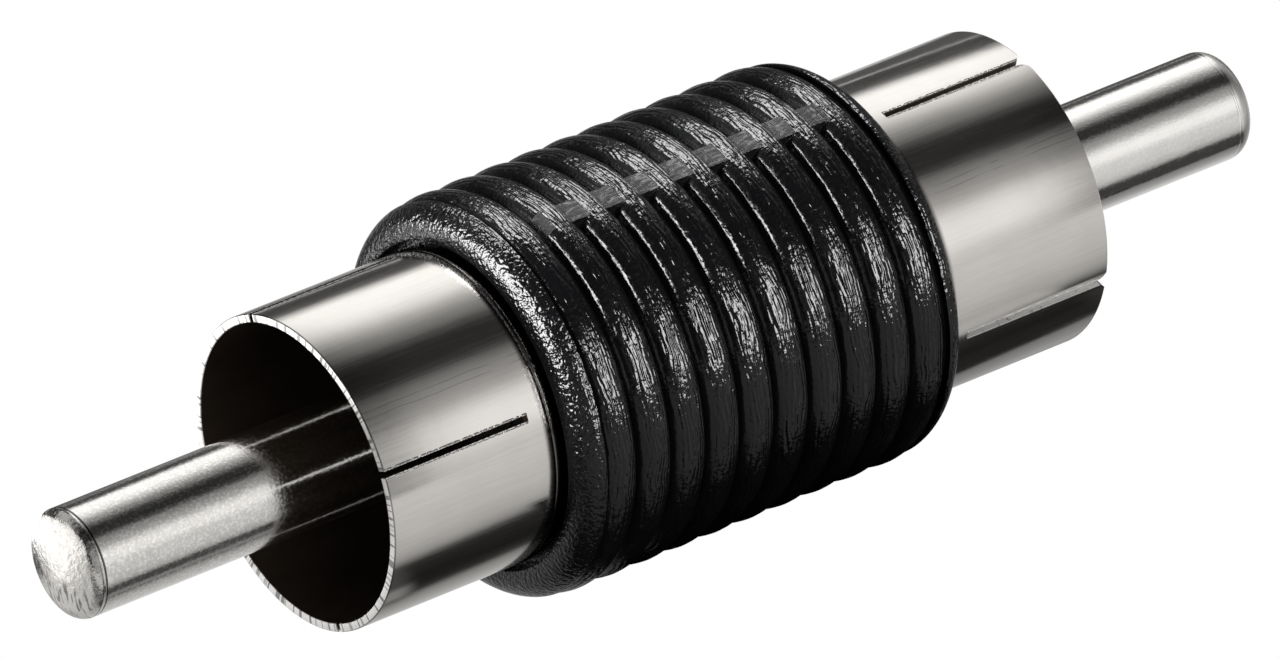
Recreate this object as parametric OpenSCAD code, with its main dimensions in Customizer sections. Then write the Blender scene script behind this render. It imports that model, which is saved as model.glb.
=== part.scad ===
// Phono coupler, plug to plug: two slotted plug fronts joined back to back in one ribbed moulding.
// The axis lies along X, +Z is up, and the origin is the middle of the grip.
// A turn is an angle round the axis in degrees: 0 faces -Y and 90 faces +Z.

/* [Centre pins] */
// Diameter of each centre pin
pin_d = 3.2; // [3:0.05:3.4]
// How far the left tip stands out past its shell's rim
pin_reach_left = 8.2; // [6:0.1:9]
// How far the right tip stands out past its shell's rim
pin_reach_right = 7.9; // [6:0.1:9]
// Radius of the knuckle where a pin turns over into its tip
tip_knuckle_r = 0.35; // [0.1:0.05:0.6]
// Radius of the shallow crown on a tip
tip_crown_r = 3.6; // [2:0.1:6]
// Diameter of the stem that a pin passes through its insulator
stem_d = 2; // [1.4:0.1:2.4]

/* [Shells] */
// Outside diameter of each shell
shell_d = 9.24; // [8.6:0.02:10]
// Thickness of the drawn sheet
shell_wall = 0.25; // [0.2:0.05:0.4]
// Length of shell that stands out of the grip
shell_reach = 5.76; // [5:0.02:8]
// Number of slots that make the skirt springy
slot_count = 4; // [2:1:6]
// Length of each slot
slot_l = 4.9; // [3:0.1:5.5]
// Width of each slot
slot_w = 0.18; // [0.15:0.01:0.5]
// Radius of the left shell's petal corners at each slot's mouth
petal_corner_left = 0.1; // [0.1:0.05:0.6]
// Radius of the right shell's petal corners, which are broken more
petal_corner_right = 0.4; // [0.1:0.05:0.6]
// Turn of the left shell's first slot
slot_turn_left = 26; // [0:1:90]
// Turn of the right shell's first slot
slot_turn_right = 80.6; // [0:0.2:90]
// Distance of the rolled groove from the grip's face
roll_offset = 0.18; // [0.1:0.02:0.4]
// Width of the rolled groove
roll_w = 0.09; // [0.04:0.01:0.2]
// Depth of the rolled groove
roll_depth = 0.05; // [0.02:0.01:0.12]

/* [Grip] */
// Length of the grip
grip_l = 13.24; // [12:0.02:18]
// Thickness of its wall from the shells out to the crests of the ribs
grip_wall = 1.24; // [1:0.02:2]
// Number of full ribs
rib_count = 10; // [4:1:12]
// Radius of each rib's rounded crown
rib_crown_r = 0.62; // [0.5:0.01:0.8]
// Depth of the grooves between the ribs
rib_depth = 0.33; // [0.1:0.01:0.4]
// Width of the plain ring at each end
end_ring_w = 0.67; // [0.5:0.01:1.5]
// Drop of that ring below the crests
end_ring_drop = 0.06; // [0:0.01:0.15]
// Width of the groove between an end ring and the last rib
end_groove_w = 0.05; // [0.03:0.01:0.3]
// Radius of the shoulder round each end face
shoulder_r = 0.8; // [0.2:0.02:0.9]
// Gap between a shell and the rim of the recess round it
recess_gap = 0.2; // [0.1:0.02:0.35]
// Depth of that recess
recess_depth = 0.5; // [0.2:0.05:1]
// Width of the parting strip along each side of the moulding
strip_w = 0.8; // [0.4:0.05:1.5]
// Depth of the strip's surface below the crests
strip_drop = 0.07; // [0:0.01:0.15]
// First groove that the strip fills, counted from the left
strip_first = 2; // [1:1:3]
// Distance that the strip stops short of the last crest
strip_short = 0.4; // [0.2:0.05:0.6]
// Turn of the strip, with its twin opposite
strip_turn = 80.2; // [0:0.2:180]

/* [Insulators] */
// Distance of each insulator's face from its shell's rim
face_depth = 6.58; // [6:0.02:8]
// Thickness of the disc between that face and the cup's floor
disc_t = 1.3; // [1:0.05:3]
// Height of the boss round the pin
boss_h = 0.3; // [0.1:0.05:0.6]
// Diameter of that boss
boss_d = 5; // [4.2:0.1:6.5]
// Diameter of the neck that passes the shell's floor
neck_d = 4.4; // [3.6:0.1:5.4]
// Length of the neck behind the shell's floor
neck_back = 0.5; // [0.3:0.05:1]

/* [Tails and links] */
// Diameter of the head that is staked behind each insulator
stake_d = 2.7; // [2.5:0.05:3.4]
// Thickness of the staked head
stake_h = 0.3; // [0.2:0.05:0.6]
// Diameter of the solder cup on each pin's tail
tail_d = 1.8; // [1.6:0.05:2.4]
// Length of the solder cup
tail_l = 1.6; // [1.2:0.05:2]
// Thickness left behind the hole in the solder cup
cup_floor_t = 0.3; // [0.2:0.05:0.5]
// Diameter of the hole in the solder cup
cup_hole_d = 1.2; // [1:0.05:1.4]
// Length of the cup that is cut open on top
cup_open_l = 0.9; // [0.4:0.05:1.1]
// Diameter of the wire between the pins
wire_d = 0.9; // [0.6:0.05:1]
// Width of the earth tag on each shell
tag_w = 1.6; // [1.2:0.05:2]
// Length of each tag behind its shell's floor
tag_l = 1.7; // [1.2:0.05:2]
// Distance of each tag in from the outside of its shell
tag_inset = 0.77; // [0.6:0.01:1]
// Turn of the tags and of the earth wire
tag_turn = 270; // [0:5:355]
// Diameter of the earth wire
earth_d = 0.8; // [0.5:0.05:1]
// Thickness of solder over the earth wire
solder_t = 0.25; // [0.1:0.05:0.3]
// Thickness of the film of solder between the earth wire and a tag
solder_film = 0.05; // [0.02:0.01:0.1]
// Length of wire that the solder climbs out of each cup
solder_climb = 0.4; // [0.2:0.05:0.8]

/* [Inner moulding] */
// Number of rings that key the two mouldings together
key_count = 2; // [1:1:3]
// Distance between the key rings
key_pitch = 4; // [2:0.5:5]
// Width of each key ring
key_w = 0.9; // [0.5:0.1:1.5]
// Height of each key ring
key_h = 0.35; // [0.2:0.05:0.5]

/* [Fits] */
// Gap between a pressed piece and its seat
seat_gap = 0.01; // [0.005:0.005:0.03]
// Gap between the grip and what it is moulded round
mould_gap = 0.01; // [0.005:0.005:0.03]

/* [Hidden] */
$fn = 96;
cut = 1;
left = -1;
right = 1;
pin_r = pin_d / 2;
stem_r = stem_d / 2;
shell_r = shell_d / 2;
skirt_r = shell_r - shell_wall;
end_x = grip_l / 2;
rim_x = end_x + shell_reach;
face_x = rim_x - face_depth;
boss_x = face_x + boss_h;
floor_x = face_x - disc_t;
floor_back_x = floor_x - shell_wall;
bend_r = 2 * shell_wall;
bend_in_r = bend_r - shell_wall;
roll_x = end_x + roll_offset;
rim_break = shell_wall / 6;
crest_r = shell_r + grip_wall;
groove_r = crest_r - rib_depth;
ring_r = crest_r - end_ring_drop;
ring_x = end_x - end_ring_w;
rib_half = sqrt(pow(rib_crown_r, 2) - pow(rib_crown_r - rib_depth, 2));
rib_pitch = 2 * (ring_x - end_groove_w - rib_half) / (rib_count - 1);
bore_r = shell_r + mould_gap;
recess_r = shell_r + recess_gap;
neck_r = neck_d / 2;
neck_x = floor_back_x - neck_back;
stake_x = neck_x - stake_h;
tail_x = stake_x - tail_l;
cup_hole_x = stake_x - cup_floor_t;
wire_end_x = cup_hole_x - seat_gap;
tag_x = floor_back_x - tag_l;
tag_r = shell_r - tag_inset - shell_wall;
earth_r = tag_r - solder_film - earth_d / 2;
earth_end_x = floor_back_x - 2 * solder_t;
key_r = shell_r + key_h;
function key_x(i) = (i - (key_count - 1) / 2) * key_pitch;
function rib_x(i) = (i - (rib_count - 1) / 2) * rib_pitch;

// A body of revolution about X, from a profile with the radius along x and the axis along y
module turned() {
    rotate([90, 0, 90])
        rotate_extrude()
            children();
}

// Everything in one plug front is drawn for the right end, and mirrored for the left
module at_end(end) {
    mirror([end == left ? 1 : 0, 0, 0])
        children();
}

// Places a shape drawn facing -Y at a turn round the axis
module at_turn(turn) {
    rotate([-turn, 0, 0])
        children();
}

// A box along X that faces -Y: from x0 to x1, from r0 to r1 outwards, w wide
module radial_box(x0, x1, r0, r1, w) {
    translate([x0, -r1, -w / 2])
        cube([x1 - x0, r1 - r0, w]);
}

// A rod along X
module rod(x0, x1, r) {
    translate([x0, 0, 0])
        rotate([0, 90, 0])
            cylinder(r = r, h = x1 - x0);
}

// Profile of a pin: a shallow crown that meets its side in a small knuckle, the body, stem and staked head
module pin_profile(tip_x) {
    crown_x = tip_x - tip_crown_r;
    knuckle_c = pin_r - tip_knuckle_r;
    knuckle_x = crown_x + sqrt(pow(tip_crown_r - tip_knuckle_r, 2) - pow(knuckle_c, 2));
    meet_r = knuckle_c * tip_crown_r / (tip_crown_r - tip_knuckle_r);
    translate([0, boss_x])
        square([pin_r, knuckle_x - boss_x]);
    intersection() {
        translate([knuckle_c, knuckle_x])
            circle(r = tip_knuckle_r);
        translate([0, boss_x])
            square([pin_r, tip_x - boss_x]);
    }
    intersection() {
        translate([0, crown_x])
            circle(r = tip_crown_r);
        translate([0, knuckle_x - tip_knuckle_r])
            square([meet_r, tip_x]);
    }
    translate([0, stake_x])
        square([stem_r, boss_x - stake_x]);
    translate([0, stake_x])
        square([stake_d / 2, stake_h]);
}

// Solder cup on a pin's tail, without its hole: the mouth is cut open on top
module tail() {
    difference() {
        rod(tail_x, stake_x, tail_d / 2);
        translate([tail_x - cut, -tail_d, 0])
            cube([cup_open_l + cut, 2 * tail_d, tail_d]);
    }
}

// Turned pin: tip and body in front, a stem through the insulator, a staked head and the cup behind
module pin(tip_x) {
    difference() {
        union() {
            turned()
                pin_profile(tip_x);
            tail();
        }
        rod(tail_x - cut, cup_hole_x, cup_hole_d / 2);
    }
}

module pin_left() {
    color([0.80, 0.79, 0.77])
        at_end(left)
            pin(rim_x + pin_reach_left);
}

module pin_right() {
    color([0.80, 0.79, 0.77])
        at_end(right)
            pin(rim_x + pin_reach_right);
}

// Section of the drawn cup: bottom with its bend, skirt with a rolled groove, and a rim with broken edges
module cup_profile() {
    difference() {
        union() {
            translate([neck_r, floor_back_x])
                square([shell_r - bend_r - neck_r, shell_wall]);
            intersection() {
                difference() {
                    translate([shell_r - bend_r, floor_back_x + bend_r])
                        circle(r = bend_r);
                    translate([shell_r - bend_r, floor_back_x + bend_r])
                        circle(r = bend_in_r);
                }
                translate([shell_r - bend_r, floor_back_x])
                    square([bend_r, bend_r]);
            }
            translate([skirt_r, floor_back_x + bend_r])
                square([shell_wall, rim_x - floor_back_x - bend_r]);
        }
        translate([shell_r - roll_depth, roll_x])
            square([roll_depth + cut, roll_w]);
        for (edge_r = [skirt_r, shell_r])
            translate([edge_r, rim_x])
                rotate(45)
                    square(rim_break * sqrt(2), center = true);
    }
}

// Outline of one slot seen from outside: a saw cut whose mouth opens between two rounded petal corners
module slot_outline(corner_r) {
    mouth_w = slot_w + 2 * corner_r;
    corner_x = rim_x - corner_r + rim_break;
    translate([rim_x - slot_l, -slot_w / 2])
        square([slot_l + cut, slot_w]);
    difference() {
        translate([corner_x, -mouth_w / 2])
            square([corner_r + cut, mouth_w]);
        for (side = [-1, 1])
            translate([corner_x, side * mouth_w / 2])
                circle(r = corner_r);
    }
}

module slot_cut(corner_r) {
    rotate([90, 0, 0])
        translate([0, 0, skirt_r - cut])
            linear_extrude(shell_wall + 2 * cut)
                slot_outline(corner_r);
}

// Earth tag, bent straight back out of the cup's bottom
module tag() {
    at_turn(tag_turn)
        radial_box(tag_x, floor_x, tag_r, tag_r + shell_wall, tag_w);
}

// Drawn cup with its spring petals, and the window that its tag was lanced from
module shell(slot_turn, corner_r) {
    difference() {
        turned()
            cup_profile();
        for (i = [0 : slot_count - 1])
            at_turn(slot_turn + i * 360 / slot_count)
                slot_cut(corner_r);
        at_turn(tag_turn)
            radial_box(floor_back_x - cut, floor_x + cut, 0, tag_r, tag_w);
    }
    tag();
}

module shell_left() {
    color([0.76, 0.75, 0.73])
        at_end(left)
            shell(slot_turn_left, petal_corner_left);
}

module shell_right() {
    color([0.76, 0.75, 0.73])
        at_end(right)
            shell(slot_turn_right, petal_corner_right);
}

// Moulded bush: a disc that seats on the cup's floor, a boss round the pin, and a neck through the floor
module insulator() {
    stem_hole_r = stem_r + seat_gap;
    disc_r = skirt_r - seat_gap;
    turned() {
        translate([stem_hole_r, floor_x + bend_in_r])
            square([disc_r - stem_hole_r, face_x - floor_x - bend_in_r]);
        translate([stem_hole_r, floor_x])
            square([disc_r - bend_in_r - stem_hole_r, bend_r]);
        translate([stem_hole_r, face_x])
            square([boss_d / 2 - stem_hole_r, boss_h]);
        translate([stem_hole_r, neck_x])
            square([neck_r - seat_gap - stem_hole_r, floor_x - neck_x]);
    }
}

module insulator_left() {
    color([0.10, 0.10, 0.10])
        at_end(left)
            insulator();
}

module insulator_right() {
    color([0.10, 0.10, 0.10])
        at_end(right)
            insulator();
}

// Tinned wire from solder cup to solder cup
module centre_link() {
    color([0.78, 0.77, 0.74])
        rod(-wire_end_x, wire_end_x, wire_d / 2);
}

// Tinned wire from earth tag to earth tag
module earth_link() {
    color([0.78, 0.77, 0.74])
        at_turn(tag_turn)
            translate([0, -earth_r, 0])
                rod(-earth_end_x, earth_end_x, earth_d / 2);
}

// Solder round the wire in its cup, drawn out to a cone along the wire
module solder_pin() {
    wire_r = wire_d / 2;
    hole_r = cup_hole_d / 2;
    turned()
        polygon([
            [wire_r, tail_x - solder_climb],
            [hole_r, tail_x],
            [hole_r, wire_end_x],
            [wire_r, wire_end_x]
        ]);
}

module solder_pin_left() {
    color([0.66, 0.66, 0.67])
        at_end(left)
            solder_pin();
}

module solder_pin_right() {
    color([0.66, 0.66, 0.67])
        at_end(right)
            solder_pin();
}

// Solder over the earth wire, flat against the tag's inner face
module solder_tag() {
    at_turn(tag_turn)
        difference() {
            intersection() {
                translate([0, -earth_r, 0])
                    rod(tag_x, earth_end_x, earth_d / 2 + solder_t);
                radial_box(tag_x, earth_end_x, 0, tag_r, tag_w);
            }
            translate([0, -earth_r, 0])
                rod(tag_x - cut, earth_end_x + cut, earth_d / 2);
        }
}

module solder_tag_left() {
    color([0.66, 0.66, 0.67])
        at_end(left)
            solder_tag();
}

module solder_tag_right() {
    color([0.66, 0.66, 0.67])
        at_end(right)
            solder_tag();
}

// All that the inner moulding is shot round at one end, apart from the two wires
module embedded() {
    rod(neck_x, floor_back_x + cut, neck_r - seat_gap);
    rod(stake_x, neck_x, stake_d / 2);
    tail();
    solder_pin();
    tag();
    solder_tag();
}

// First shot of plastic: it holds the two plug fronts apart and locks round their tails, tags and wires
module inner_mould() {
    color([0.16, 0.16, 0.17])
        difference() {
            union() {
                rod(-floor_back_x, floor_back_x, shell_r);
                for (i = [0 : key_count - 1])
                    rod(key_x(i) - key_w / 2, key_x(i) + key_w / 2, key_r);
            }
            for (end = [left, right])
                at_end(end)
                    embedded();
            centre_link();
            earth_link();
        }
}

// Outline of the grip: a plain wall, the crowns of the ribs, and a ring at each end
module grip_outline() {
    translate([bore_r, recess_depth - end_x])
        square([groove_r - bore_r, 2 * (end_x - recess_depth)]);
    translate([recess_r, -ring_x])
        square([groove_r - recess_r, 2 * ring_x]);
    for (i = [0 : rib_count - 1])
        intersection() {
            translate([crest_r - rib_crown_r, rib_x(i)])
                circle(r = rib_crown_r);
            translate([groove_r - rib_depth, rib_x(i) - rib_crown_r])
                square([2 * rib_depth, 2 * rib_crown_r]);
        }
    for (side = [0, 1])
        mirror([0, side, 0])
            end_ring_outline();
}

// Outline of the plain ring at one end, with its rounded shoulder and the recess round the shell
module end_ring_outline() {
    intersection() {
        translate([recess_r, ring_x])
            square([ring_r - recess_r, end_x - ring_x]);
        union() {
            square([ring_r - shoulder_r, end_x]);
            square([ring_r, end_x - shoulder_r]);
            translate([ring_r - shoulder_r, end_x - shoulder_r])
                circle(r = shoulder_r);
        }
    }
}

// A parting strip fills the grooves along one side of the moulding, just below the crests
module parting_strip() {
    strip_r = crest_r - strip_drop;
    strip_start = rib_x(strip_first - 1);
    strip_end = rib_x(rib_count - 1) - strip_short;
    intersection() {
        difference() {
            rod(strip_start, strip_end, strip_r);
            rod(strip_start - cut, strip_end + cut, bore_r + (groove_r - bore_r) / 2);
        }
        radial_box(strip_start, strip_end, 0, crest_r, strip_w);
    }
}

// Soft outer moulding: ribbed barrel, rounded ends, and grooves inside where it flowed round the key rings
module grip() {
    color([0.07, 0.07, 0.08])
        difference() {
            union() {
                turned()
                    grip_outline();
                for (side = [0, 180])
                    at_turn(strip_turn + side)
                        parting_strip();
            }
            for (i = [0 : key_count - 1])
                rod(
                    key_x(i) - key_w / 2 - mould_gap,
                    key_x(i) + key_w / 2 + mould_gap,
                    key_r + mould_gap
                );
        }
}

grip();
inner_mould();
shell_left();
shell_right();
insulator_left();
insulator_right();
pin_left();
pin_right();
centre_link();
earth_link();
solder_pin_left();
solder_pin_right();
solder_tag_left();
solder_tag_right();
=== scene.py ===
# Phono coupler, plug to plug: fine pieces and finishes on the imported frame, in metres.
# The axis lies along X, +Z is up, and a turn is in degrees round the axis: 0 faces -Y, 90 faces +Z.
import bpy
from math import acos, asin, cos, degrees, pi, radians, sin, sqrt
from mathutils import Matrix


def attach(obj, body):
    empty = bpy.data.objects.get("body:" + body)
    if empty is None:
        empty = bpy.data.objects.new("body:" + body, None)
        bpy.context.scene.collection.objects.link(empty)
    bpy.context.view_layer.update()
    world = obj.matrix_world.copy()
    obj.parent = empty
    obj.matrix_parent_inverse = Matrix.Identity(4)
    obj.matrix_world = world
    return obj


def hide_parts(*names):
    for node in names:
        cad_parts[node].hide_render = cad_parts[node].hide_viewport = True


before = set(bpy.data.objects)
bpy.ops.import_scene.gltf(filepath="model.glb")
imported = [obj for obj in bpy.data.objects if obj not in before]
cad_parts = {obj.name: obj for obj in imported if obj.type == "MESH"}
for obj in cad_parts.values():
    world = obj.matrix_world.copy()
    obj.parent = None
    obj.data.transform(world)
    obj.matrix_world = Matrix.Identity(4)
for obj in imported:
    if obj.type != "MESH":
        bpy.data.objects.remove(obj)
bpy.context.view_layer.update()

# Shells. Each is a cup deep-drawn from 0.25 mm brass sheet, nickel plated, with four saw cuts that make
# its skirt springy, a rolled groove by the grip, and an earth tag lanced out of its bottom and bent back.
# It is held by the inner moulding, which is shot round its bottom and tag.
MM = 0.001
LEFT, RIGHT = -1, 1
SHEET = 0.25
SHELL_R = 4.62
SKIRT_R = SHELL_R - SHEET
RIM_X = 12.38
RIM_ROUND = 0.04
FLOOR_X = 4.5
BEND_R = 0.25
HOLE_R = 2.2
ROLL_X = 6.85
ROLL_DEPTHS = ((0.1, 0), (0.05, 0), (0.03, 0.004), (0.01, 0.008))
SLOT_COUNT = 4
SLOT_W = 0.18
SLOT_L = 4.9
SLOT_TURN = {LEFT: 26, RIGHT: 80.6}
CORNER_R = {LEFT: 0.1, RIGHT: 0.4}
SAW_R = 3.9
SAW_DEPTH = 1.2
TAG_X = 2.55
TAG_Z = -3.6
TAG_HALF = 0.8
WINDOW_Z = -1
SHELL_STEPS = 264

NICKEL_LOW = (0.66, 0.635, 0.60, 1)
NICKEL_HIGH = (0.72, 0.695, 0.66, 1)
INSIDE_DARK_BROWN = (0.16, 0.125, 0.10, 1)
SHEARED_RIM = (0.96, 0.95, 0.93, 1)
RIM_TICK = (0.34, 0.33, 0.32, 1)
LIP_SHADE_AND_HIGHLIGHT = {LEFT: (0.15, 0.145, 0.14, 1), RIGHT: (0.93, 0.92, 0.90, 1)}
BURR_AND_PAINTED_HIGHLIGHT = (0.98, 0.97, 0.95, 1)
PAINTED_GRIP_SHADE = (0.1, 0.095, 0.09, 1)
SCRATCH_INK = (0.2, 0.19, 0.18, 1)
SCRATCH_TURN = 46
SAWN_WALL_HIGHLIGHT = (1, 0.99, 0.97, 1)


def only(piece):
    """Selects one piece and nothing else"""
    bpy.ops.object.select_all(action="DESELECT")
    piece.select_set(True)
    bpy.context.view_layer.objects.active = piece


def settle(piece):
    """Puts a piece's place and turn into its mesh"""
    only(piece)
    bpy.ops.object.transform_apply(location=True, rotation=True, scale=True)


def arc(centre_x, centre_r, radius, start, end, steps):
    """Points of an arc in a section, with 0 degrees along X and 90 outwards"""
    turns = [radians(start + (end - start) * k / steps) for k in range(steps + 1)]
    return [(centre_x + radius * cos(t), centre_r + radius * sin(t)) for t in turns]


def draw(name, points):
    """Draws a closed line through points in millimetres, by extruding one vertex on from point to point"""
    bpy.ops.object.select_all(action="DESELECT")
    bpy.ops.mesh.primitive_plane_add(size=MM, location=[v * MM for v in points[0]])
    piece = bpy.context.object
    piece.name = name
    bpy.ops.object.mode_set(mode="EDIT")
    bpy.ops.mesh.merge(type="CENTER")
    for here, there in zip(points, points[1:]):
        step = [(b - a) * MM for a, b in zip(here, there)]
        bpy.ops.mesh.extrude_vertices_move(TRANSFORM_OT_translate={"value": step})
    bpy.ops.object.mode_set(mode="OBJECT")
    for vertex in piece.data.vertices:
        vertex.select = vertex.index in (0, len(points) - 1)
    bpy.ops.object.mode_set(mode="EDIT")
    bpy.ops.mesh.edge_face_add()
    bpy.ops.object.mode_set(mode="OBJECT")
    settle(piece)
    return piece


def lathe(name, section, steps, phase):
    """Turns a section of (x, radius) points round the axis, with its first copy at the phase in degrees"""
    a = radians(phase)
    piece = draw(name, [(x, -r * cos(a), r * sin(a)) for x, r in section])
    bpy.ops.object.mode_set(mode="EDIT")
    bpy.ops.mesh.select_all(action="SELECT")
    bpy.ops.mesh.spin(steps=steps, angle=2 * pi, center=(0, 0, 0), axis=(1, 0, 0))
    bpy.ops.mesh.select_all(action="SELECT")
    bpy.ops.mesh.remove_doubles(threshold=1e-7)
    bpy.ops.mesh.normals_make_consistent(inside=False)
    bpy.ops.object.mode_set(mode="OBJECT")
    return piece


def prism(name, outline, depth):
    """Fills an outline and pulls it out by depth, a vector in millimetres"""
    piece = draw(name, outline)
    bpy.ops.object.mode_set(mode="EDIT")
    bpy.ops.mesh.select_all(action="SELECT")
    bpy.ops.mesh.edge_face_add()
    bpy.ops.mesh.extrude_region_move(TRANSFORM_OT_translate={"value": [v * MM for v in depth]})
    bpy.ops.mesh.select_all(action="SELECT")
    bpy.ops.mesh.normals_make_consistent(inside=False)
    bpy.ops.object.mode_set(mode="OBJECT")
    return piece


def oblong(end, start, stop, half, height):
    """Corners of a level rectangle between two places along the axis, for a prism"""
    return [(end * x, y, height) for x, y in ((start, -half), (stop, -half), (stop, half), (start, half))]


def turned_copy(piece, turn):
    """Copies a piece with its own mesh, and turns the copy round the axis"""
    copy = piece.copy()
    copy.data = piece.data.copy()
    bpy.context.collection.objects.link(copy)
    copy.rotation_euler.x = -radians(turn)
    settle(copy)
    return copy


def carve(piece, tool, operation="DIFFERENCE"):
    """Cuts or joins a tool into a piece, and takes the tool away"""
    cut = piece.modifiers.new("carve", "BOOLEAN")
    cut.operation = operation
    cut.solver = "EXACT"
    cut.object = tool
    only(piece)
    bpy.ops.object.modifier_apply(modifier=cut.name)
    bpy.data.objects.remove(tool, do_unlink=True)


def smooth(piece, angle=30):
    """Shades a piece smooth, apart from edges sharper than the angle"""
    only(piece)
    bpy.ops.object.shade_smooth_by_angle(angle=radians(angle))


def cup_section(end):
    """Section of the drawn cup, from the hole in its bottom round the inside, the rim and the outside"""
    points = [(FLOOR_X, HOLE_R)]
    points += arc(FLOOR_X + BEND_R, SKIRT_R - BEND_R, BEND_R, 180, 90, 6)
    points += arc(RIM_X - RIM_ROUND, SKIRT_R + RIM_ROUND, RIM_ROUND, 270, 360, 3)
    points += arc(RIM_X - RIM_ROUND, SHELL_R - RIM_ROUND, RIM_ROUND, 0, 90, 3)
    points += [(ROLL_X + away, SHELL_R - depth) for away, depth in ROLL_DEPTHS]
    points += [(ROLL_X - away, SHELL_R - depth) for away, depth in reversed(ROLL_DEPTHS)]
    points += arc(FLOOR_X + BEND_R, SKIRT_R - BEND_R, BEND_R + SHEET, 90, 180, 8)
    points += [(FLOOR_X - SHEET, HOLE_R)]
    return [(end * x, r) for x, r in points]


def slot_outline(end):
    """Outline of a saw cut whose mouth opens between two rounded petal corners"""
    half = SLOT_W / 2
    corner_x = RIM_X - CORNER_R[end] + SHEET / 6
    mouth = half + CORNER_R[end]
    upper = arc(corner_x, mouth, CORNER_R[end], 270, 350, 10)
    points = [(RIM_X - SLOT_L, half)] + upper + [(RIM_X + 1, upper[-1][1])]
    points += [(x, -z) for x, z in reversed(points)]
    return [(end * x, -SAW_R, z) for x, z in points]


def make_shell(name, end):
    """Draws the cup, saws its slots, opens the window in its bottom and adds the tag"""
    half_step = 180 / SHELL_STEPS
    shell = lathe(name, cup_section(end), SHELL_STEPS, SLOT_TURN[end] + half_step)
    saw = prism("saw", slot_outline(end), (0, -SAW_DEPTH, 0))
    for k in range(SLOT_COUNT):
        carve(shell, turned_copy(saw, SLOT_TURN[end] + 360 / SLOT_COUNT * k))
    bpy.data.objects.remove(saw, do_unlink=True)
    window = oblong(end, FLOOR_X - 0.5, FLOOR_X + 0.2, TAG_HALF, WINDOW_Z)
    carve(shell, prism("window", window, (0, 0, TAG_Z - WINDOW_Z)))
    tag = oblong(end, TAG_X, FLOOR_X - 0.05, TAG_HALF, TAG_Z)
    carve(shell, prism("tag", tag, (0, 0, -SHEET)), "UNION")
    smooth(shell)
    return shell


class Wire:
    """A shader socket that can be used in sums, so that a pattern reads as plain maths"""

    def __init__(self, tree, socket=None):
        self.tree = tree
        self.socket = socket

    def node(self, kind, settings, sockets, out=0):
        """Adds any node: its settings first, then the values or links of its sockets"""
        made = self.tree.nodes.new("ShaderNode" + kind)
        for key, value in settings.items():
            if key == "stops":
                ramp = made.color_ramp.elements
                for _ in range(len(value) - 2):
                    ramp.new(0.5)
                for stop, (position, colour) in zip(ramp, value):
                    stop.position = position
                    stop.color = colour
            else:
                setattr(made, key, value)
        for key, value in sockets.items():
            if isinstance(value, Wire):
                self.tree.links.new(value.socket, made.inputs[key])
            else:
                made.inputs[key].default_value = value
        if isinstance(out, tuple):
            return [Wire(self.tree, made.outputs[o]) for o in out]
        return Wire(self.tree, made.outputs[out])

    def maths(self, operation, *values):
        """Adds a Math node on the values that are given"""
        return self.node("Math", {"operation": operation}, dict(enumerate(values)))

    def __add__(self, other):
        return self.maths("ADD", self, other)

    def __radd__(self, other):
        return self.maths("ADD", other, self)

    def __sub__(self, other):
        return self.maths("SUBTRACT", self, other)

    def __rsub__(self, other):
        return self.maths("SUBTRACT", other, self)

    def __mul__(self, other):
        return self.maths("MULTIPLY", self, other)

    def __rmul__(self, other):
        return self.maths("MULTIPLY", other, self)

    def __truediv__(self, other):
        return self.maths("DIVIDE", self, other)

    def __pow__(self, other):
        return self.maths("POWER", self, other)

    def __abs__(self):
        return self.maths("ABSOLUTE", self)

    def fade(self, start, end, low=0.0, high=1.0):
        """Goes smoothly from low at start to high at end"""
        ends = {"From Min": start, "From Max": end, "To Min": low, "To Max": high}
        return self.node("MapRange", {"interpolation_type": "SMOOTHSTEP"}, {"Value": self, **ends})

    def scaled(self, x, y, z):
        """A vector with each part multiplied"""
        return self.node("VectorMath", {"operation": "MULTIPLY"}, {0: self, 1: (x, y, z)})

    def noise(self, scale, detail, rough=0.5):
        """Noise on a vector, from 0 to 1"""
        values = {"Vector": self, "Scale": scale, "Detail": detail, "Roughness": rough}
        return self.node("TexNoise", {}, values)

    def blend(self, first, second):
        """Mixes two colours by this value"""
        return self.node("Mix", {"data_type": "RGBA"}, {0: self, 6: first, 7: second}, 2)


class Finish:
    """A material that is being made: its shader, and where a point lies on the coupler, in millimetres"""

    def __init__(self, name, **values):
        self.material = bpy.data.materials.new(name)
        self.material.use_nodes = True
        self.tree = self.material.node_tree
        self.shader = self.tree.nodes["Principled BSDF"]
        for key, value in values.items():
            self.shader.inputs[key.replace("_", " ")].default_value = value
        start = Wire(self.tree)
        coords = start.node("TexCoord", {}, {}, "Object")
        self.place = coords.node("VectorMath", {"operation": "SCALE"}, {0: coords, "Scale": 1000})
        self.x, self.y, self.z = self.place.node("SeparateXYZ", {}, {0: self.place}, (0, 1, 2))
        self.radius = (self.y * self.y + self.z * self.z) ** 0.5
        self.turn = self.z.maths("ARCTAN2", self.z, 0 - self.y) * degrees(1)

    def feed(self, socket, value):
        """Links a pattern into a socket of the shader"""
        self.tree.links.new(value.socket, self.shader.inputs[socket])

    def bump(self, height):
        """Raises the surface by a height in millimetres"""
        self.feed("Normal", height.node("Bump", {}, {"Height": height, "Distance": MM, "Strength": 1.0}))


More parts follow.
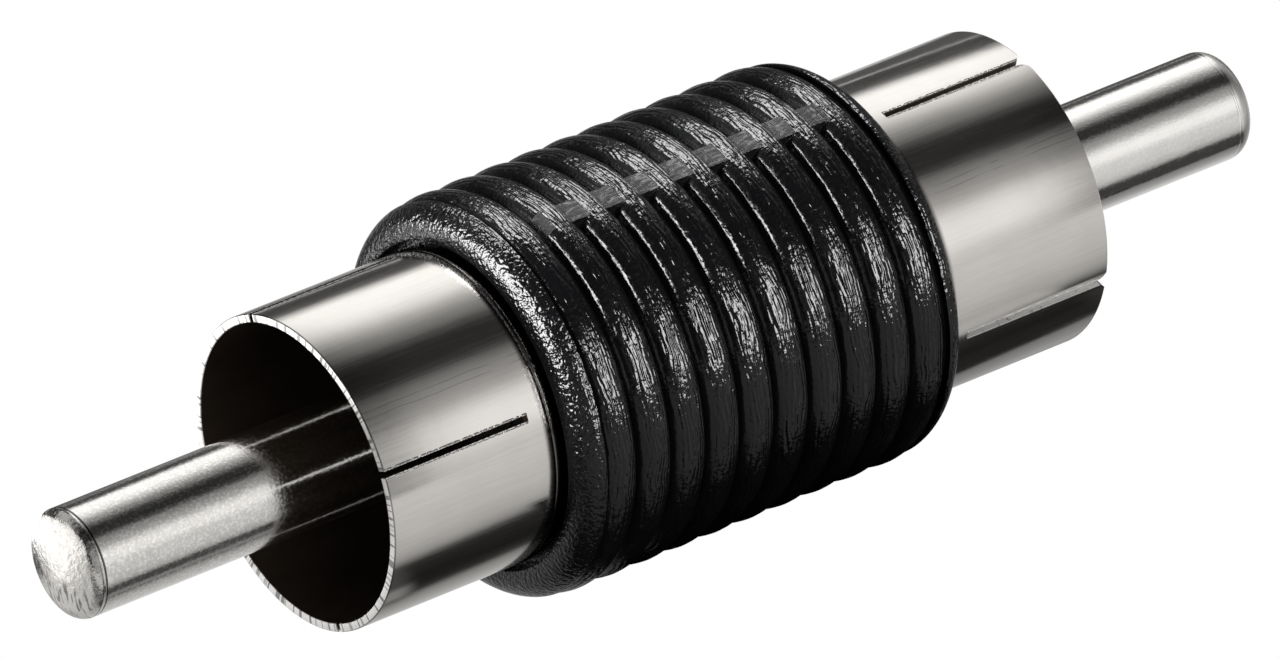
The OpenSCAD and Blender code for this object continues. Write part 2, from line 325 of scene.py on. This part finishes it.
def shell_nickel(name, end):
    """Bright nickel on drawn sheet: faint draw lines along it, a darker and duller inside, burrs along the
    saw cuts, and painted shade and highlights at the rim lip, burrs, a sawn wall and beside the grip
    """
    nickel = Finish(name, Metallic=1.0)
    along = nickel.x * end
    wander = nickel.place.noise(0.7, 2)
    lines = nickel.place.scaled(0.25, 9, 9).noise(1.6, 4, 0.65)
    fine = nickel.place.scaled(0.6, 30, 30).noise(1.5, 3, 0.6)
    pits = nickel.place.noise(9, 3, 0.7)
    # The inside of the cup is set a darker brown and rougher than the outside
    inside = nickel.radius.fade(SHELL_R - 0.04, SHELL_R - 0.08)
    plate = (lines * 0.6 + wander * 0.4).fade(0.3, 0.7).blend(NICKEL_LOW, NICKEL_HIGH)
    plate = inside.blend(plate, INSIDE_DARK_BROWN)

    # The rim's sheared face has saw ticks across it, and its outer lip carries a painted shade on the left
    # shell and a painted highlight on the right
    rim = along.fade(RIM_X - 0.035, RIM_X - 0.02) * nickel.radius.fade(SHELL_R - 0.02, SHELL_R - 0.035)
    lip = along.fade(RIM_X - 0.05, RIM_X - 0.03) * nickel.radius.fade(SHELL_R - 0.035, SHELL_R - 0.02)
    spoke = nickel.place.scaled(0, 1, 1)
    ticks = spoke.node("VectorMath", {"operation": "NORMALIZE"}, {0: spoke}).noise(30, 2).fade(0.52, 0.6)
    plate = rim.blend(plate, ticks.blend(SHEARED_RIM, RIM_TICK))
    plate = (lip * 0.7).blend(plate, LIP_SHADE_AND_HIGHLIGHT[end])

    # Burrs stand along the saw cuts, and a painted shade darkens the plate beside the grip, where the grip's
    # dark end would shade it
    half_turn = 180 / SLOT_COUNT
    off_slot = nickel.x.maths("WRAP", nickel.turn - SLOT_TURN[end], half_turn, -half_turn)
    off_edge = abs(abs(off_slot) * radians(1) * nickel.radius - SLOT_W / 2)
    on_slot = along.fade(RIM_X - SLOT_L - 0.01, RIM_X - SLOT_L + 0.02)
    burr = off_edge.fade(0.07, 0.02) * on_slot * nickel.place.noise(9, 2, 0.6).fade(0.42, 0.55)
    burr = burr * nickel.radius.fade(SHELL_R - 0.02, SHELL_R - 0.005)
    # The burrs' near-white colour is partly a painted highlight along the cut edges
    plate = (burr * 0.9).blend(plate, BURR_AND_PAINTED_HIGHLIGHT)
    # Painted shade: the plate is darkened towards the grip
    grip_shade = along.fade(ROLL_X + 0.28, ROLL_X + 0.11) * nickel.radius.fade(SHELL_R - 0.07, SHELL_R - 0.02)
    plate = (grip_shade * 0.92).blend(plate, PAINTED_GRIP_SHADE)

    # Two handling scratches run side by side
    scratches = abs(abs(nickel.turn - SCRATCH_TURN - wander * 2) - 1.3).fade(0.3, 0.08)
    scratches = scratches * nickel.place.scaled(0.8, 0.1, 0.1).noise(1.3, 2).fade(0.35, 0.6) * (1 - inside)
    plate = (scratches * 0.35).blend(plate, SCRATCH_INK)
    if end == RIGHT:
        # One cut of the right shell has a painted highlight: a near-white, mostly non-metal band along its
        # lower sawn wall
        low_cut = nickel.turn.fade(0, -4) * nickel.turn.fade(-20, -16)
        highlight_breakup = nickel.place.scaled(6, 6, 3).noise(1, 2).fade(0.3, 0.42)
        sawn_highlight = off_edge.fade(0.06, 0.03) * on_slot * low_cut
        sawn_highlight = sawn_highlight * nickel.radius.fade(SKIRT_R + 0.01, SKIRT_R + 0.03) * highlight_breakup
        plate = sawn_highlight.blend(plate, SAWN_WALL_HIGHLIGHT)
        burr = burr.maths("MAXIMUM", burr, sawn_highlight)
        nickel.feed("Metallic", 1 - sawn_highlight * 0.9)
    nickel.feed("Base Color", plate)
    rough = 0.10 + lines.fade(0.35, 0.7) * 0.07 + pits.fade(0.5, 0.8) * 0.05
    rough = rough + inside * 0.22 + burr * 0.3 + rim * 0.15
    nickel.feed("Roughness", rough.maths("MINIMUM", rough, 0.6))
    nickel.bump(lines * 0.0006 + fine * 0.00025 + wander * 0.004 + burr * 0.03)
    return nickel.material


for shell_name, shell_end in (("shell_left", LEFT), ("shell_right", RIGHT)):
    piece = make_shell("drawn_" + shell_name, shell_end)
    piece.data.materials.clear()
    piece.data.materials.append(shell_nickel("nickel_" + shell_name, shell_end))
    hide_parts(shell_name)
    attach(piece, "root")

# Insulators. Each is a moulded bush of hard black plastic, pushed into its shell before the pin is staked.
# Its disc seats on the cup's bottom, its boss stands round the pin and its neck passes the cup's floor.
BUSH_LOW = (0.012, 0.011, 0.010, 1)
BUSH_HIGH = (0.022, 0.020, 0.018, 1)


def carried(node_name, material):
    """Gives a CAD node its finish"""
    piece = bpy.data.objects[node_name]
    for k in range(len(piece.material_slots)):
        piece.material_slots[k].material = material
    if not piece.material_slots:
        piece.data.materials.append(material)


def bush_plastic():
    """Hard black plastic with a faint swirl and a fine speck"""
    bush = Finish("black_bush_plastic", Roughness=0.42, Specular_IOR_Level=0.5)
    speck = bush.place.noise(9, 4, 0.65)
    swirl = bush.place.noise(0.8, 2)
    bush.feed("Base Color", swirl.blend(BUSH_LOW, BUSH_HIGH))
    bush.feed("Roughness", 0.36 + speck * 0.2)
    bush.bump(speck * 0.006)
    return bush.material


bush_finish = bush_plastic()
for bush_name in ("insulator_left", "insulator_right"):
    carried(bush_name, bush_finish)

# Centre pins. Each is turned from brass bar and nickel plated: a shallow crowned tip with a small knuckle,
# a plain body, a stem through the bush, and a solder cup behind the head that is staked against the bush.
PIN_R = 1.6
TIP_X = {LEFT: 20.58, RIGHT: 20.28}
CROWN_R = 3.6
KNUCKLE_R = {LEFT: 0.35, RIGHT: 0.55}
TIP_L = {LEFT: 0.6, RIGHT: 0.74}
BODY_X = 6.1
BODY_EDGE = 0.05
STEM_R = 1
STAKE_R = 1.35
STAKE_X = 3.75
STAKE_BACK_X = 3.45
TAIL_R = 0.9
TAIL_X = 1.85
CUP_R = 0.6
CUP_FLOOR_X = 3.15
MOUTH_X = 2.75
PIN_STEPS = 128
PIN_PHASE = 0.7

PIN_LOW = {LEFT: (0.64, 0.62, 0.59, 1), RIGHT: (0.74, 0.72, 0.69, 1)}
PIN_HIGH = {LEFT: (0.71, 0.69, 0.66, 1), RIGHT: (0.84, 0.82, 0.79, 1)}
SPECK_INK = {LEFT: (0.88, 0.87, 0.85, 1), RIGHT: (0.90, 0.89, 0.87, 1)}
CREASE_SHADE_AND_HIGHLIGHT = {LEFT: (0.03, 0.03, 0.03, 1), RIGHT: (0.96, 0.95, 0.93, 1)}
KNUCKLE_PAINTED_SHADE = (0.2, 0.195, 0.19, 1)
STROKE_INK = (0.12, 0.115, 0.11, 1)


def pin_section(end):
    """Section of a pin, from the middle of its tip back to the bottom of its solder cup"""
    knuckle = KNUCKLE_R[end]
    crown_x = TIP_X[end] - CROWN_R
    knuckle_r = PIN_R - knuckle
    knuckle_x = crown_x + sqrt((CROWN_R - knuckle) ** 2 - knuckle_r ** 2)
    meet = degrees(asin(knuckle_r / (CROWN_R - knuckle)))
    points = arc(crown_x, 0, CROWN_R, 0, meet, 14)
    points += arc(knuckle_x, knuckle_r, knuckle, meet, 90, 12)[1:]
    points += [(knuckle_x - 0.5, PIN_R), (knuckle_x - 4, PIN_R)]
    points += [(BODY_X + BODY_EDGE, PIN_R), (BODY_X, PIN_R - BODY_EDGE), (BODY_X, STEM_R)]
    points += [(STAKE_X, STEM_R), (STAKE_X, STAKE_R), (STAKE_BACK_X, STAKE_R), (STAKE_BACK_X, TAIL_R)]
    points += [(TAIL_X, TAIL_R), (TAIL_X, CUP_R), (CUP_FLOOR_X, CUP_R), (CUP_FLOOR_X, 0)]
    return [(end * x, r) for x, r in points]


def make_pin(name, end):
    """Turns the pin and cuts its solder cup open on top"""
    pin = lathe(name, pin_section(end), PIN_STEPS, PIN_PHASE)
    mouth = oblong(end, TAIL_X - 0.65, MOUTH_X, TAIL_R + 0.5, 0)
    carve(pin, prism("mouth", mouth, (0, 0, TAIL_R + 0.6)))
    smooth(pin)
    return pin


def pin_nickel(name, end):
    """Polished nickel on turned brass: faint lines and bright specks along the body, scuffs on the tip,
    painted shade at the left tip's knuckle and crease, and a painted highlight at the right tip's crease
    """
    nickel = Finish(name, Metallic=1.0)
    along = nickel.x * end
    body_end = TIP_X[end] - TIP_L[end]
    tip = along.fade(body_end - 0.02, body_end + 0.1)
    lines = nickel.place.scaled(0.3, 10, 10).noise(1.8, 4, 0.65)
    specks = nickel.place.noise(11, 2, 0.6).fade(0.42, 0.7)
    wander = nickel.place.noise(0.8, 2)
    scuff = nickel.place.noise(4, 3, 0.6)
    crease = abs(along - (body_end - 0.06)).fade(0.04, 0.015)
    plate = (lines * 0.5 + wander * 0.5).fade(0.3, 0.7).blend(PIN_LOW[end], PIN_HIGH[end])
    if end == LEFT:
        # Dented and stroked by use; a painted shade darkens its knuckle on the far side, and painted dark
        # lines mark the crease and where the tip starts
        far_side = (nickel.z * 0.616 - nickel.y * 0.788).fade(0.2, -0.5)
        edge = tip * nickel.radius.fade(1.15, 1.42) * far_side
        strokes = nickel.place.scaled(1, 3.2, 0.8).noise(2.2, 3).fade(0.5, 0.6)
        strokes = strokes * tip * nickel.z.fade(0.1, -0.5)
        tip_line_shade = abs(along - (body_end + 0.06)).fade(0.03, 0.01) * 0.7
        dents = nickel.place.noise(7, 2)
        plate = (specks * (1 - tip)).blend(plate, SPECK_INK[end])
        # Painted shade on the knuckle's far side
        plate = (edge * 0.65).blend(plate, KNUCKLE_PAINTED_SHADE)
        plate = (strokes * 0.85).blend(plate, STROKE_INK)
        # The crease and the line where the tip starts are painted shade, near black
        plate = (crease * 0.9 + tip_line_shade).blend(plate, CREASE_SHADE_AND_HIGHLIGHT[end])
        worn = 0.06 + scuff.fade(0.45, 0.7) * 0.15
        dented = tip * (scuff * 0.03 + dents * 0.014) - crease * 0.01
    else:
        plate = (specks * (1 - tip) * 0.5).blend(plate, SPECK_INK[end])
        # The right pin's crease line is a painted highlight, near white
        plate = crease.blend(plate, CREASE_SHADE_AND_HIGHLIGHT[end])
        worn = 0.28 + scuff.fade(0.45, 0.7) * 0.05
        dented = tip * scuff * 0.004 + crease * 0.004
    nickel.feed("Base Color", plate)
    nickel.feed("Roughness", 0.10 + lines.fade(0.35, 0.7) * 0.05 + specks * 0.06 + tip * worn)
    nickel.bump(lines * 0.0006 + wander * 0.003 + specks * 0.0008 + dented)
    return nickel.material


for pin_name, pin_end in (("pin_left", LEFT), ("pin_right", RIGHT)):
    piece = make_pin("turned_" + pin_name, pin_end)
    piece.data.materials.clear()
    piece.data.materials.append(pin_nickel("nickel_" + pin_name, pin_end))
    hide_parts(pin_name)
    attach(piece, "root")

# Links. Two tinned copper wires join the plug fronts: one from solder cup to solder cup, and one from
# earth tag to earth tag. Both are soldered by hand, and the inner moulding hides them.
TIN_LOW = (0.62, 0.60, 0.56, 1)
TIN_HIGH = (0.76, 0.75, 0.72, 1)


def tinned_wire():
    """Tin on drawn copper, with faint die marks along the wire"""
    wire = Finish("tinned_copper_wire", Metallic=1.0)
    draws = wire.place.scaled(0.5, 12, 12).noise(2, 3, 0.6)
    wire.feed("Base Color", draws.blend(TIN_LOW, TIN_HIGH))
    wire.feed("Roughness", 0.24 + draws * 0.16)
    wire.bump(draws * 0.003)
    return wire.material


wire_finish = tinned_wire()
for wire_name in ("centre_link", "earth_link"):
    carried(wire_name, wire_finish)

# Solder joints. Hand-run solder fills each pin's cup round the middle wire, and holds the other wire on
# each earth tag. It is set, dull and a little grainy, and the inner moulding hides all four joints.
SOLDER_LOW = (0.48, 0.48, 0.49, 1)
SOLDER_HIGH = (0.66, 0.66, 0.67, 1)


def set_solder():
    """Grey solder that has cooled grainy"""
    solder = Finish("set_solder", Metallic=1.0)
    grains = solder.place.noise(6, 4, 0.6)
    solder.feed("Base Color", grains.blend(SOLDER_LOW, SOLDER_HIGH))
    solder.feed("Roughness", 0.26 + grains * 0.2)
    solder.bump(grains * 0.008)
    return solder.material


solder_finish = set_solder()
for solder_name in ("solder_pin_left", "solder_pin_right", "solder_tag_left", "solder_tag_right"):
    carried(solder_name, solder_finish)

# Inner moulding. It is the first shot, of hard dark plastic: it holds the two plug fronts apart, locks
# round their tails, tags and wires, and has two rings that key it to the grip.
INNER_LOW = (0.020, 0.020, 0.021, 1)
INNER_HIGH = (0.032, 0.032, 0.034, 1)


def inner_plastic():
    """Hard dark plastic, with the marks of its flow"""
    inner = Finish("hard_inner_plastic", Roughness=0.5)
    flow = inner.place.scaled(0.6, 1, 1).noise(1.4, 3)
    speck = inner.place.noise(11, 3, 0.6)
    inner.feed("Base Color", flow.blend(INNER_LOW, INNER_HIGH))
    inner.feed("Roughness", 0.44 + speck * 0.15)
    inner.bump(speck * 0.005)
    return inner.material


carried("inner_mould", inner_plastic())

# Grip. It is the second shot, of soft black plastic with a spark-eroded grain: ten round ribs between two
# plain end rings with rounded shoulders, and a recess round each shell. A parting strip fills the grooves
# along each side. It is moulded round the inner moulding and grips its two key rings.
BORE_R = 4.63
CREST_R = 5.86
GROOVE_R = 5.53
RING_R = 5.80
RING_X = 5.95
RIB_R = 0.62
RIB_COUNT = 10
RIB_PITCH = 1.18929
END_X = 6.62
SHOULDER_R = 0.8
SHOULDER_TURN = 80.65
RECESS_R = 4.82
RECESS_X = 6.12
KEY_X = 2
KEY_HALF = 0.46
KEY_R = 4.98
STRIP_R = 5.79
STRIP_ROOT_R = 5.2
STRIP_W = 0.8
STRIP_TURN = 80.2
GRIP_STEPS = 240
GRIP_PHASE = 0.37

GRIP_LOW = (0.0006, 0.0006, 0.0007, 1)
GRIP_HIGH = (0.0015, 0.0015, 0.0017, 1)


def grip_section():
    """Section of the whole grip: up the left end, along the ribs, down the right end and back inside"""
    half = degrees(acos((RIB_R - CREST_R + GROOVE_R) / RIB_R))
    right = arc(END_X - SHOULDER_R, RING_R - SHOULDER_R, SHOULDER_R, SHOULDER_TURN, 0, 16)
    right = [(RING_X, GROOVE_R), (RING_X, RING_R - 0.035)] + right[1:]
    right += [(END_X, RECESS_R + 0.05), (END_X - 0.015, RECESS_R + 0.015), (END_X - 0.05, RECESS_R)]
    right += [(RECESS_X, RECESS_R), (RECESS_X, BORE_R)]
    right += [(KEY_X + KEY_HALF, BORE_R), (KEY_X + KEY_HALF, KEY_R)]
    right += [(KEY_X - KEY_HALF, KEY_R), (KEY_X - KEY_HALF, BORE_R)]
    left = [(-x, r) for x, r in reversed(right)]
    valley = degrees(asin(RIB_PITCH / 2 / RIB_R))
    ribs = []
    for k in range(RIB_COUNT):
        middle = (k - (RIB_COUNT - 1) / 2) * RIB_PITCH
        start = half if k == 0 else valley
        end = half if k == RIB_COUNT - 1 else valley
        ribs += arc(middle, CREST_R - RIB_R, RIB_R, 90 + start, 90 - end, 14)
    return left + ribs + right


def strip_tool(turn):
    """The parting strip as a curved slab, from the second rib to just short of the last one"""
    half = degrees(STRIP_W / 2 / STRIP_R)
    last_rib = (RIB_COUNT - 1) / 2 * RIB_PITCH
    start, end = RIB_PITCH - last_rib, last_rib - 0.4
    turns = [radians(turn - half + half * k / 6) for k in range(13)]
    outer = [(start, -STRIP_R * cos(t), STRIP_R * sin(t)) for t in turns]
    inner = [(start, -STRIP_ROOT_R * cos(t), STRIP_ROOT_R * sin(t)) for t in reversed(turns)]
    return prism("strip", outer + inner, (end - start, 0, 0))


def make_grip():
    """Turns the ribbed sleeve and adds a parting strip on each side"""
    grip = lathe("ribbed_grip", grip_section(), GRIP_STEPS, GRIP_PHASE)
    for side in (0, 180):
        carve(grip, strip_tool(STRIP_TURN + side), "UNION")
    smooth(grip, 35)
    return grip


def grip_plastic():
    """Soft black plastic: furrows of the turned mould run round it, and its ends have an eroded grain"""
    grip = Finish("grained_black_plastic", Specular_IOR_Level=0.27)
    off_strip = grip.x.maths("WRAP", grip.turn - STRIP_TURN, 90, -90)
    on_strip = abs(off_strip).fade(4.1, 3.8) * abs(grip.x).fade(5.2, 5.1)
    on_strip = on_strip * grip.radius.fade(STRIP_R + 0.02, STRIP_R + 0.005)
    on_end = abs(grip.x).fade(RING_X - 0.05, RING_X + 0.2)
    flank = grip.radius.fade(CREST_R - 0.1, CREST_R - 0.18)
    upper = grip.turn.fade(38, 46) * grip.turn.fade(80, 72) * grip.radius.fade(CREST_R - 0.02, CREST_R - 0.08)
    wander = grip.place.scaled(1, 0.5, 0.5).noise(1.5, 1)
    phase = grip.x * 48 + wander * 22
    broken = grip.place.scaled(12, 2, 2).noise(1, 1) - 0.5
    furrows = phase.maths("SINE", phase) * 0.0075 + broken * 0.05
    furrows = furrows * (1 - on_strip * 0.85) * (1 - flank.maths("MAXIMUM", flank, upper) * 0.9)
    grain = grip.place.noise(8, 1)
    mottle = grip.place.scaled(3, 9, 9).noise(1, 2)
    swirl = grip.place.noise(0.9, 2)
    grip.feed("Base Color", swirl.blend(GRIP_LOW, GRIP_HIGH))
    rough = 0.12 + grain.fade(0.3, 0.7) * 0.06 + on_end * 0.03
    grip.feed("Roughness", rough + on_strip * mottle.fade(0.35, 0.65, 0.28, 0.62))
    coarse = 0.02 + on_end * 0.045 - flank * 0.012
    grip.bump(furrows + (grain - 0.5) * coarse + on_strip * mottle * 0.04)
    return grip.material


grip_piece = make_grip()
grip_piece.data.materials.clear()
grip_piece.data.materials.append(grip_plastic())
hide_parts("grip")
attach(grip_piece, "root")

# Studio. A white floor that only the camera sees, a card on it that only reflections see, a sky of soft
# bands round the axis with a softbox at the near end, and five lamps that light the grip alone.
FLOOR_Z = -5.87
CARD_ENDS = (-60, 80)
SKY_ENDS = (0, 180)


def level(value):
    """A grey of this brightness"""
    return (value, value, value, 1)


def grey_ramp(place, ends, stops):
    """Greys along a value between two ends, from pairs of place and brightness"""
    low, high = ends
    ramp = [((at - low) / (high - low), level(value)) for at, value in stops]
    share = place.node("MapRange", {}, {"Value": place, "From Min": low, "From Max": high})
    return share.node("ValToRGB", {"stops": ramp}, {"Fac": share})


def add_light(factor, first, second):
    """Adds a second colour to the first, past white too"""
    settings = {"data_type": "RGBA", "blend_type": "ADD", "clamp_result": False}
    return first.node("Mix", settings, {0: factor, 6: first, 7: second}, 2)


bpy.ops.object.select_all(action="DESELECT")
bpy.ops.mesh.primitive_plane_add(size=30, location=(0, 0, FLOOR_Z * MM - 0.00002))
seen_floor = bpy.context.object
seen_floor.name = "white_floor"
seen_floor.visible_glossy = False
seen_floor.visible_diffuse = False
seen_floor.visible_shadow = False
white = bpy.data.materials.new("white_floor")
white.use_nodes = True
white_ink = Wire(white.node_tree)
glow = white_ink.node("Emission", {}, {"Color": level(1), "Strength": 1.0})
white.node_tree.links.new(glow.socket, white.node_tree.nodes["Material Output"].inputs["Surface"])
seen_floor.data.materials.append(white)

bpy.ops.mesh.primitive_plane_add(size=0.6, location=(0, 0, FLOOR_Z * MM))
card = bpy.context.object
card.name = "bounce_card"
card.visible_camera = False
card_finish = Finish("bounce_card")
card_x, card_y = card_finish.x, card_finish.y
# The card's greys paint shade: the dark strip from y -8.2 to -4.2 is a painted shadow of the coupler, and the
# zones below paint the shadow under the grip and dark and light bands for the metal to reflect
card_grey = grey_ramp(card_y, CARD_ENDS, (
    (-60, 0.76), (-28, 0.73), (-16, 0.66), (-13.5, 0.61), (-11.6, 0.56), (-10, 0.475), (-8.8, 0.33),
    (-8.2, 0.04), (-7, 0.02), (-5, 0.012), (-4.2, 0.04), (-3.8, 0.25), (-2.9, 0.41), (-1.5, 0.56),
    (3, 0.75), (15, 0.74), (22, 0.54), (29, 0.38), (42, 0.2), (80, 0.06),
))
painted_grip_shadow = abs(card_x - 2.8).fade(6.9, 6.5) * card_y.fade(-9.5, -9.1) * card_y.fade(5.5, 5)
behind = card_y.fade(6, 8.5) * (card_x.fade(-1, -3.5) + card_x.fade(24, 27))
shell_line = abs(card_x - 11.5).fade(5, 4) * abs(card_y + 9.2).fade(1.2, 0.6)
by_right = card_x.fade(6, 7.5)
right_line = by_right * abs(card_y + 4.2).fade(1.0, 0.7)
right_shade = by_right * card_y.fade(-3.9, -3.5) * card_y.fade(1.2, -2) * 0.38
by_left = card_x.fade(-9.4, -10.4)
pin_band = (by_left + card_x.fade(15, 17) * 0.55) * abs(card_y + 6).fade(2.6, 1.8) * 0.8
left_line = by_left * abs(card_y + 4.7).fade(0.8, 0.4)
card_zones = (
    (painted_grip_shadow, 0.0), (behind, 0.1), (shell_line, 0.56), (right_line, 0.02), (right_shade, 0.0),
    (pin_band, 0.09), (left_line, 0.27),
)
for zone, brightness in card_zones:
    card_grey = zone.blend(card_grey, level(brightness))
away = card_y * 0.6 - card_x * 0.8
across = abs(card_x * 0.6 + card_y * 0.8)
wedge = away.fade(22, 28) * (across / away).fade(0.6, 0.4) * 1.6
pool = ((card_x + 17.2) ** 2 + (card_y - 16) ** 2) ** 0.5
glare = wedge.maths("MAXIMUM", wedge, pool.fade(6, 4) * 5)
card_light = add_light(1.0, card_grey, glare)
card_glow = card_light.node("Emission", {}, {"Color": card_light, "Strength": 1.0})
card_finish.tree.links.new(card_glow.socket, card_finish.tree.nodes["Material Output"].inputs["Surface"])
card.data.materials.append(card_finish.material)

world = bpy.data.worlds.new("soft_studio")
bpy.context.scene.world = world
world.use_nodes = True
sky = Wire(world.node_tree)
ray = sky.node("TexCoord", {}, {}, "Generated")
ray_x, ray_y, ray_z = ray.node("SeparateXYZ", {}, {0: ray}, (0, 1, 2))
ray_turn = ray_z.maths("ARCTAN2", ray_z, 0 - ray_y) * degrees(1)
sky_grey = grey_ramp(ray_turn, SKY_ENDS, (
    (0, 0.74), (8, 0.86), (16, 1.08), (26, 1.10), (33, 1.0), (38, 0.80), (44, 0.52), (50, 0.40),
    (57, 0.32), (63, 0.22), (68, 0.06), (74, 0.03), (88, 0.03), (94, 0.09), (98, 0.21), (104, 0.31),
    (110, 0.50), (116, 0.78), (122, 1.08), (128, 1.28), (134, 1.38), (150, 1.45), (155.3, 0.8),
    (159.3, 0.17), (165, 0.08), (180, 0.06),
))
sky_grey = (abs(ray_x - 0.51).fade(0.12, 0.25) * 0.6).blend(sky_grey, level(0.0))
sky_grey = ray_x.fade(-0.70, -0.80).blend(sky_grey, level(0.0))
softbox = ray_x.fade(-0.55, -0.72) * ray_y.fade(-0.3, 0.1) * ray_z.fade(0.54, 0.50)
sky_light = add_light(softbox, sky_grey, level(1.2))
camera_ray = sky.node("LightPath", {}, {}, "Is Camera Ray")
sky_light = camera_ray.blend(sky_light, level(1))
world.node_tree.links.new(sky_light.socket, world.node_tree.nodes["Background"].inputs["Color"])
world.node_tree.nodes["Background"].inputs["Strength"].default_value = 1.0

bpy.context.scene.view_settings.view_transform = "Standard"

grip_only = bpy.data.collections.new("grip_only")
grip_only.objects.link(grip_piece)


def grip_lamp(name, place, size, watts):
    """A soft rectangular lamp that faces the grip and lights it alone"""
    bpy.ops.object.light_add(type="AREA", location=place)
    lamp = bpy.context.object
    lamp.name = name
    lamp.data.shape = "RECTANGLE"
    lamp.data.size, lamp.data.size_y = size
    lamp.data.energy = watts
    lamp.visible_camera = False
    lamp.rotation_euler = lamp.location.to_track_quat("Z", "Y").to_euler()
    lamp.light_linking.receiver_collection = grip_only


grip_lamp("front_lamp", (0.066, -0.262, 0.130), (0.21, 0.18), 3.2)
grip_lamp("top_lamp", (0.066, 0.160, 0.245), (0.24, 0.14), 2.0)
grip_lamp("top_strip", (0.10, 0.159, 0.254), (0.6, 0.16), 0.1)
grip_lamp("side_lamp", (-0.2665, 0.0566, 0.0965), (0.22, 0.128), 3.8)
grip_lamp("low_lamp", (-0.090, 0.042, 0.006), (0.08, 0.02), 0.19)

# Camera. It looks at the coupler from above and from the left pin's end, 0.74 m away, through a long lens
# that keeps the near and far rims almost the same size.
bpy.ops.object.camera_add(
    location=(-0.379224, -0.499610, 0.391175),
    rotation=(radians(58.05), 0, radians(-37.166)),
)
camera = bpy.context.object
camera.data.lens = 750
camera.data.sensor_width = 36
camera.data.clip_start = 0.01
camera.data.dof.use_dof = False
bpy.context.scene.camera = camera
